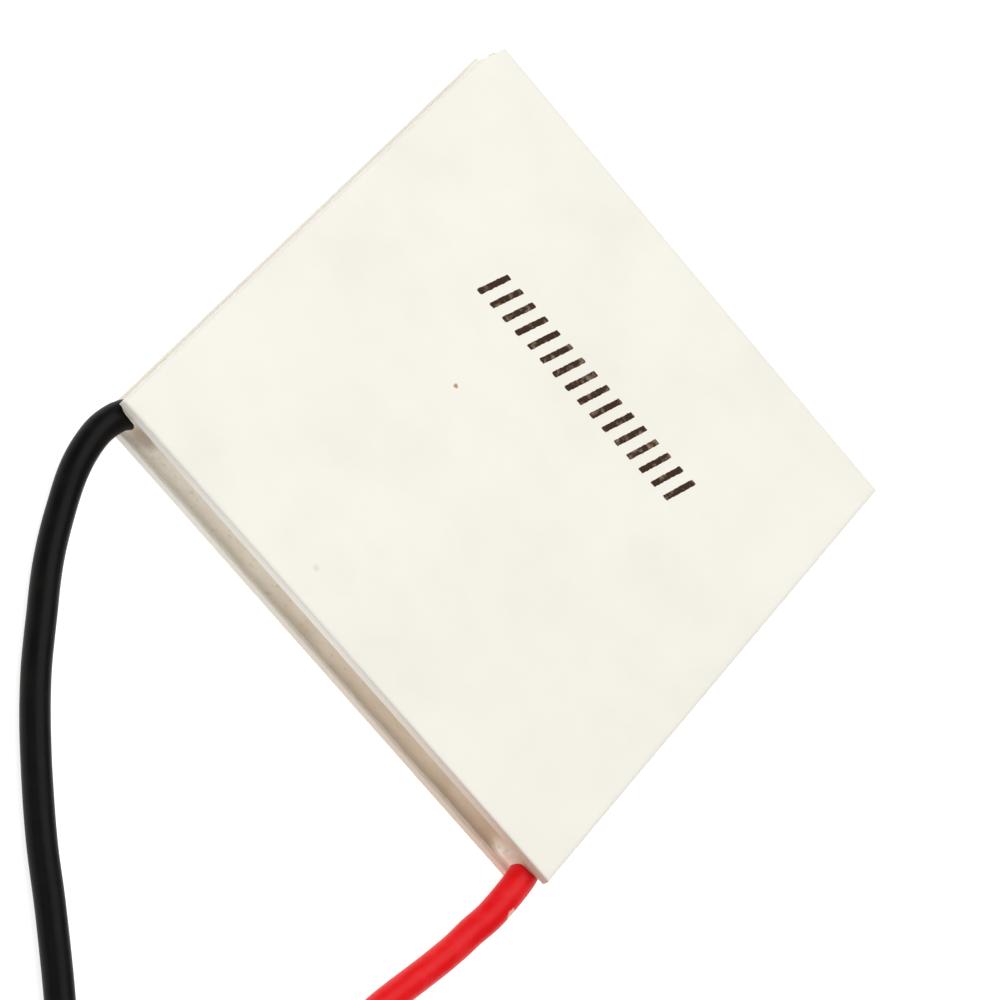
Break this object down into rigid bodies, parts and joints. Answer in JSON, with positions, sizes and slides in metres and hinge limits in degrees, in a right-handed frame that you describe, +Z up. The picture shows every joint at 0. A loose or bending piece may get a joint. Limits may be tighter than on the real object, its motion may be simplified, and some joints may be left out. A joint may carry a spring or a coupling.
{
  "type": "thermoelectric cooling module",
  "caption": "Flat square thermoelectric cooling module: white ceramic plates with semiconductor legs sealed between them, and a black and a red lead from one edge.",
  "frame": {"origin": "centre of the lower face of the hot side plate, which lies on the surface", "axes": "+Z up through the module to the cold side, X along the edge that the leads leave from with the red lead at +X, -Y the way the leads leave"},
  "size_m": [0.0598, 0.0986, 0.0042],
  "materials": {
    "alumina": "fine matt white alumina",
    "silicone_seal": "smooth satin silicone bead, yellowed",
    "p_bismuth_telluride": "sawn semiconductor, dull grey",
    "n_bismuth_telluride": "sawn semiconductor, dull dark grey",
    "copper": "bare copper, dull",
    "solder": "satin solder",
    "tinned_copper": "tinned strand",
    "black_pvc": "satin extruded insulation",
    "red_pvc": "satin extruded insulation",
    "tie_strip": "matt plastic strip"
  },
  "bodies": {
    "root": {"hot_side_plate": "alumina", "cold_side_plate": "alumina", "edge_seal": "silicone_seal", "p_legs_column_01": "p_bismuth_telluride", "p_legs_column_02": "p_bismuth_telluride", "p_legs_column_03": "p_bismuth_telluride", "p_legs_column_04": "p_bismuth_telluride", "p_legs_column_05": "p_bismuth_telluride", "p_legs_column_06": "p_bismuth_telluride", "p_legs_column_07": "p_bismuth_telluride", "p_legs_column_08": "p_bismuth_telluride", "p_legs_column_09": "p_bismuth_telluride", "p_legs_column_10": "p_bismuth_telluride", "p_legs_column_11": "p_bismuth_telluride", "p_legs_column_12": "p_bismuth_telluride", "p_legs_column_13": "p_bismuth_telluride", "p_legs_column_14": "p_bismuth_telluride", "p_legs_column_15": "p_bismuth_telluride", "p_legs_column_16": "p_bismuth_telluride", "n_legs_column_01": "n_bismuth_telluride", "n_legs_column_02": "n_bismuth_telluride", "n_legs_column_03": "n_bismuth_telluride", "n_legs_column_04": "n_bismuth_telluride", "n_legs_column_05": "n_bismuth_telluride", "n_legs_column_06": "n_bismuth_telluride", "n_legs_column_07": "n_bismuth_telluride", "n_legs_column_08": "n_bismuth_telluride", "n_legs_column_09": "n_bismuth_telluride", "n_legs_column_10": "n_bismuth_telluride", "n_legs_column_11": "n_bismuth_telluride", "n_legs_column_12": "n_bismuth_telluride", "n_legs_column_13": "n_bismuth_telluride", "n_legs_column_14": "n_bismuth_telluride", "n_legs_column_15": "n_bismuth_telluride", "n_legs_column_16": "n_bismuth_telluride", "hot_tabs_group_01": "copper", "hot_tabs_group_02": "copper", "hot_tabs_group_03": "copper", "hot_tabs_group_04": "copper", "hot_tabs_group_05": "copper", "hot_tabs_group_06": "copper", "hot_tabs_group_07": "copper", "hot_tabs_group_08": "copper", "cold_tabs_group_01": "copper", "cold_tabs_group_02": "copper", "cold_tabs_group_03": "copper", "cold_tabs_group_04": "copper", "black_solder_joint": "solder", "black_lead": "black_pvc", "black_lead_coil": "black_pvc", "black_lead_tie": "tie_strip", "black_lead_end": "black_pvc", "black_lead_tip": "tinned_copper", "red_solder_joint": "solder", "red_lead": "red_pvc", "red_lead_coil": "red_pvc", "red_lead_tie": "tie_strip", "red_lead_end": "red_pvc", "red_lead_tip": "tinned_copper"}
  },
  "joints": []
}
